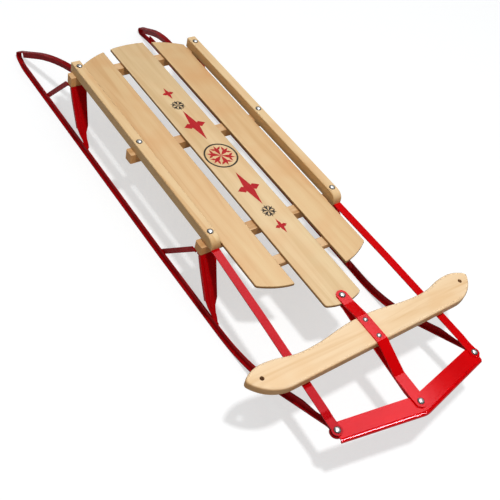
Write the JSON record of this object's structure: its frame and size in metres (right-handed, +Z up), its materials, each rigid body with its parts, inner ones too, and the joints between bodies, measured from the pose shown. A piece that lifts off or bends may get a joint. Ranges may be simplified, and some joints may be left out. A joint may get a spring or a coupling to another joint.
{
  "type": "steerable runner sled",
  "caption": "Low wooden snow sled on looped T-section steel runners, with a shaped crossbar that steers a sprung steel front end.",
  "frame": {"origin": "middle of the bounding box's base, on the floor that the runners stand on", "axes": "+Z up, -Y is the way the sled travels (front bumper at -Y, runner loops at +Y), +X is the rider's left"},
  "size_m": [0.5008, 1.2159, 0.1514],
  "materials": {
    "slat_wood": "clear varnished birch",
    "rail_wood": "clear varnished birch",
    "bench_wood": "clear varnished hardwood",
    "bar_wood": "clear varnished birch with eased edges",
    "red_steel": "gloss red enamel",
    "runner_steel": "gloss red enamel",
    "zinc_bolt": "bright zinc plate"
  },
  "bodies": {
    "root": {"deck_slat_centre": "slat_wood", "deck_slat_left": "slat_wood", "deck_slat_right": "slat_wood", "side_rail_left": "rail_wood", "side_rail_right": "rail_wood", "bench_rear": "bench_wood", "bench_middle": "bench_wood", "bench_front": "bench_wood", "front_cleat": "bench_wood", "runner_left": "runner_steel", "runner_right": "runner_steel", "knee_front_left": "red_steel", "knee_front_right": "red_steel", "knee_rear_left": "red_steel", "knee_rear_right": "red_steel", "brace_front_left": "red_steel", "brace_front_right": "red_steel", "brace_rear_left": "red_steel", "brace_rear_right": "red_steel", "rail_bolts": "zinc_bolt", "loop_screws": "zinc_bolt", "pivot_bolt": "zinc_bolt"},
    "steering": {"steering_arm_upper": "red_steel", "steering_arm_lower": "red_steel", "steering_bar": "bar_wood", "bar_rivets": "zinc_bolt"},
    "front_bumper": {"bumper": "red_steel", "bumper_bolts": "zinc_bolt"},
    "strap_left": {"side_strap_left": "red_steel"},
    "strap_right": {"side_strap_right": "red_steel"},
    "toe_left": {"runner_front_left": "runner_steel"},
    "toe_right": {"runner_front_right": "runner_steel"}
  },
  "joints": [
    {"name": "steer", "type": "hinge", "parent": "root", "child": "steering", "pos_m": [0, -0.3668, 0.1282], "axis": [0, 0, 1], "range_deg": [-8, 8], "stiffness_Nm_per_rad": 60},
    {"name": "bumper_pivot", "type": "hinge", "parent": "steering", "child": "front_bumper", "pos_m": [0, -0.5862, 0.10525], "axis": [0, 0, 1], "range_deg": [-7.6, 7.6]},
    {"name": "strap_pivot_left", "type": "hinge", "parent": "root", "child": "strap_left", "pos_m": [0.141, -0.1555, 0.12625], "axis": [0, 0, 1], "range_deg": [-4.4, 4.4]},
    {"name": "strap_pivot_right", "type": "hinge", "parent": "root", "child": "strap_right", "pos_m": [-0.141, -0.1555, 0.12625], "axis": [0, 0, 1], "range_deg": [-4.4, 4.4]},
    {"name": "runner_flex_left", "type": "hinge", "parent": "root", "child": "toe_left", "pos_m": [0.165, -0.268, 0.00125], "axis": [0, 0, 1], "range_deg": [-6.1, 6.1]},
    {"name": "runner_flex_right", "type": "hinge", "parent": "root", "child": "toe_right", "pos_m": [-0.165, -0.268, 0.00125], "axis": [0, 0, 1], "range_deg": [-6.1, 6.1]}
  ],
  "couplings": [
    {"joint": "bumper_pivot", "follows": "steer", "ratio": -0.942},
    {"joint": "strap_pivot_left", "follows": "steer", "ratio": 0.539},
    {"joint": "strap_pivot_right", "follows": "steer", "ratio": 0.539},
    {"joint": "runner_flex_left", "follows": "steer", "ratio": 0.747},
    {"joint": "runner_flex_right", "follows": "steer", "ratio": 0.747}
  ]
}
